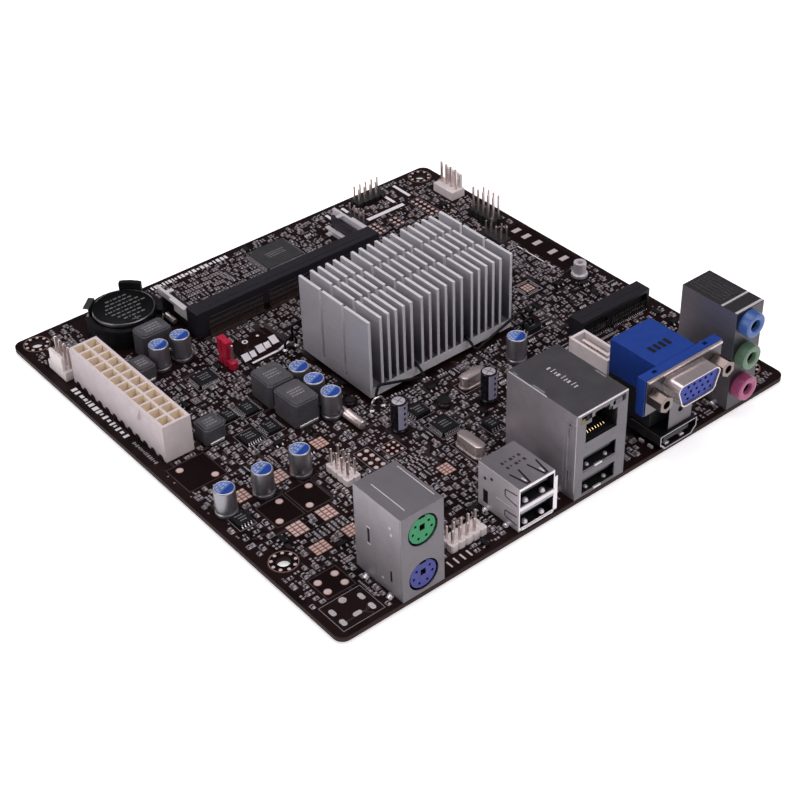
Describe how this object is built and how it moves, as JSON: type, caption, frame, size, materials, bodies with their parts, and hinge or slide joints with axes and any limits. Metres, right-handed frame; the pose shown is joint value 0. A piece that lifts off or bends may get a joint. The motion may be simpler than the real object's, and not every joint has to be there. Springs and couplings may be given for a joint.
{
  "type": "motherboard",
  "caption": "Square compact computer main board with a finned passive cooler, memory and card sockets, power and fan headers, coin cell and a row of rear connectors.",
  "frame": {"origin": "centre of the circuit board's underside", "axes": "+Z out of the component side of the board; -Y towards the edge with the rear connectors; +X along that edge from the PS/2 stack to the audio stack"},
  "size_m": [0.17, 0.1759, 0.0366],
  "materials": {
    "board_lacquer": "very dark brown solder mask, semi-gloss",
    "package_black": "moulded black package",
    "heatsink_aluminium": "plain extruded aluminium, satin",
    "spring_wire_black": "black oxide spring wire",
    "tinned_wire": "bright tin plating",
    "ivory_plastic": "off-white nylon",
    "socket_dark_grey": "dark grey liquid crystal polymer",
    "spring_steel": "bare stamped spring steel",
    "black_plastic": "black glass-filled plastic",
    "cell_steel": "stainless cell case",
    "nickel_shell": "nickel-plated sheet, half bright",
    "purple_plastic": "purple moulding",
    "green_plastic": "green moulding",
    "blue_plastic": "bright blue moulding",
    "blue_face_plastic": "bright blue contact face",
    "audio_shield": "grey metal shield",
    "pink_plastic": "pink moulding",
    "pale_green_plastic": "pale green moulding",
    "light_blue_plastic": "light blue moulding",
    "white_plastic": "white nylon",
    "capacitor_can": "bare aluminium can",
    "capacitor_sleeve": "shrink sleeve over an aluminium can",
    "ferrite_grey": "pressed powder core",
    "red_plastic": "crimson moulding"
  },
  "bodies": {
    "board": {"circuit_board": "board_lacquer", "soc_package": "package_black", "heatsink": "heatsink_aluminium", "heatsink_clip_left": "spring_wire_black", "clip_anchor_left_front": "tinned_wire", "clip_anchor_left_rear": "tinned_wire", "heatsink_clip_right": "spring_wire_black", "clip_anchor_right_front": "tinned_wire", "clip_anchor_right_rear": "tinned_wire", "atx_power_socket": "ivory_plastic", "sodimm_socket": "socket_dark_grey", "battery_holder": "black_plastic", "ps2_shell": "nickel_shell", "ps2_keyboard_port": "purple_plastic", "ps2_mouse_port": "green_plastic", "usb_shell": "nickel_shell", "usb_insert": "black_plastic", "lan_usb_shell": "nickel_shell", "lan_jack_insert": "black_plastic", "lan_usb_insert": "black_plastic", "vga_body": "blue_plastic", "vga_front_shell": "nickel_shell", "vga_socket_face": "blue_face_plastic", "vga_jackscrew_left": "nickel_shell", "vga_jackscrew_right": "nickel_shell", "video_base": "black_plastic", "hdmi_shell": "nickel_shell", "hdmi_tongue": "black_plastic", "audio_housing": "audio_shield", "audio_jack_microphone": "pink_plastic", "audio_jack_line_out": "pale_green_plastic", "audio_jack_line_in": "light_blue_plastic", "sata_connector": "white_plastic", "mini_pcie_socket": "socket_dark_grey", "mini_pcie_post": "tinned_wire", "polymer_capacitor_1": "capacitor_can", "polymer_capacitor_2": "capacitor_can", "polymer_capacitor_3": "capacitor_can", "polymer_capacitor_4": "capacitor_can", "polymer_capacitor_5": "capacitor_can", "polymer_capacitor_6": "capacitor_can", "polymer_capacitor_7": "capacitor_can", "polymer_capacitor_8": "capacitor_can", "polymer_capacitor_9": "capacitor_can", "electrolytic_capacitor_1": "capacitor_sleeve", "electrolytic_capacitor_2": "capacitor_sleeve", "inductor_1": "ferrite_grey", "inductor_2": "ferrite_grey", "inductor_3": "ferrite_grey", "inductor_4": "ferrite_grey", "inductor_5": "ferrite_grey", "cpu_fan_header": "white_plastic", "system_fan_header": "white_plastic", "front_panel_header": "black_plastic", "clear_cmos_header": "red_plastic"},
    "sodimm_latch_left": {"sodimm_latch_left": "spring_steel"},
    "sodimm_latch_right": {"sodimm_latch_right": "spring_steel"},
    "battery_contact": {"battery_contact": "spring_steel"},
    "coin_cell": {"coin_cell": "cell_steel"},
    "jumper_cap": {"jumper_cap": "red_plastic"}
  },
  "joints": [
    {"name": "sodimm_latch_left_spread", "type": "hinge", "parent": "board", "child": "sodimm_latch_left", "pos_m": [-0.0376, 0.0546, 0.0072], "axis": [0, 0, 1], "range_deg": [0, 6], "stiffness_Nm_per_rad": 0.05},
    {"name": "sodimm_latch_right_spread", "type": "hinge", "parent": "board", "child": "sodimm_latch_right", "pos_m": [0.0336, 0.0546, 0.0072], "axis": [0, 0, -1], "range_deg": [0, 6], "stiffness_Nm_per_rad": 0.05},
    {"name": "battery_contact_bend", "type": "hinge", "parent": "board", "child": "battery_contact", "pos_m": [-0.05953, 0.07691, 0.004], "axis": [-0.7431, -0.6691, 0], "range_deg": [0, 6], "stiffness_Nm_per_rad": 0.05},
    {"name": "coin_cell_lift", "type": "slide", "parent": "board", "child": "coin_cell", "axis": [0, 0, 1], "range_m": [0, 0.015]},
    {"name": "jumper_cap_pull", "type": "slide", "parent": "board", "child": "jumper_cap", "axis": [0, 0, 1], "range_m": [0, 0.008]}
  ]
}
